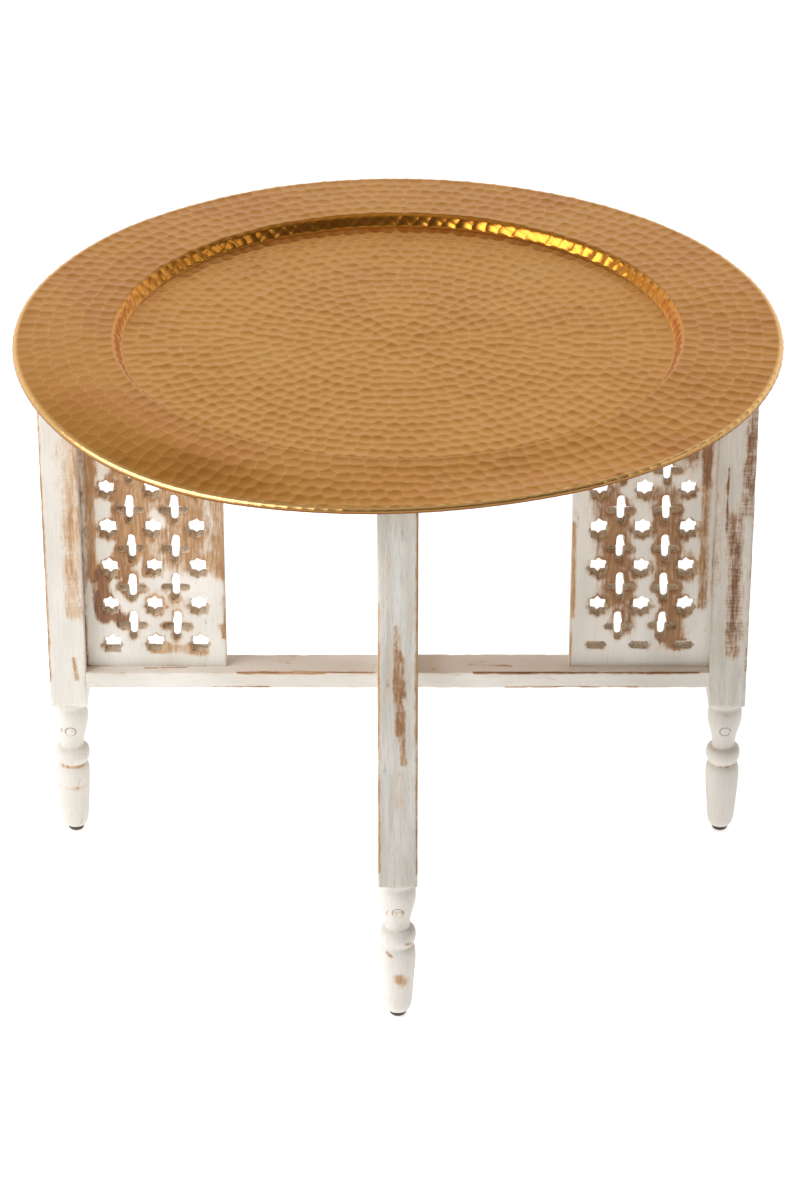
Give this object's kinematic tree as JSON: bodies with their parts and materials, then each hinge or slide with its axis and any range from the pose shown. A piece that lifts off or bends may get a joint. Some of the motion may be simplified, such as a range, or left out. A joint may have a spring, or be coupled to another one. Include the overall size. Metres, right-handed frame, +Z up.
{
  "type": "folding tray table",
  "caption": "Round hammered brass tray with a shallow well, resting on a folding cross stand of painted wood with pierced panels and turned feet.",
  "frame": {"origin": "on the floor, under the middle of the tray", "axes": "+Z up; the fixed frame lies along X with the left post at -X; the turning frame lies along Y with the front post at -Y"},
  "size_m": [0.6, 0.6, 0.46],
  "materials": {
    "brass": "hand-hammered, satin, lightly aged",
    "painted_wood": "worn cream-white paint over brown wood",
    "peg_wood": "painted end grain",
    "steel": "plain zinc-grey hardware",
    "glide": "dark brown, smooth"
  },
  "bodies": {
    "fixed_frame": {"fixed_lower_rail": "painted_wood", "fixed_upper_rail": "painted_wood", "left_post": "painted_wood", "right_post": "painted_wood", "left_panel": "painted_wood", "right_panel": "painted_wood", "left_foot": "painted_wood", "right_foot": "painted_wood", "left_foot_peg": "peg_wood", "right_foot_peg": "peg_wood", "left_glide": "glide", "right_glide": "glide", "lower_pivot_bolt": "steel", "lower_middle_washer": "steel", "lower_nut_washer": "steel", "lower_pivot_nut": "steel", "upper_pivot_bolt": "steel", "upper_middle_washer": "steel", "upper_nut_washer": "steel", "upper_pivot_nut": "steel"},
    "turning_frame": {"turning_lower_rail": "painted_wood", "turning_upper_rail": "painted_wood", "front_post": "painted_wood", "rear_post": "painted_wood", "front_panel": "painted_wood", "rear_panel": "painted_wood", "front_foot": "painted_wood", "rear_foot": "painted_wood", "front_foot_peg": "peg_wood", "rear_foot_peg": "peg_wood", "front_glide": "glide", "rear_glide": "glide"},
    "tray": {"tray": "brass"}
  },
  "joints": [
    {"name": "frame_fold", "type": "hinge", "parent": "fixed_frame", "child": "turning_frame", "pos_m": [0, 0, 0.16], "axis": [0, 0, 1], "range_deg": [-80, 80]},
    {"name": "tray_lift", "type": "slide", "parent": "fixed_frame", "child": "tray", "axis": [0, 0, 1], "range_m": [0, 0.15]}
  ]
}
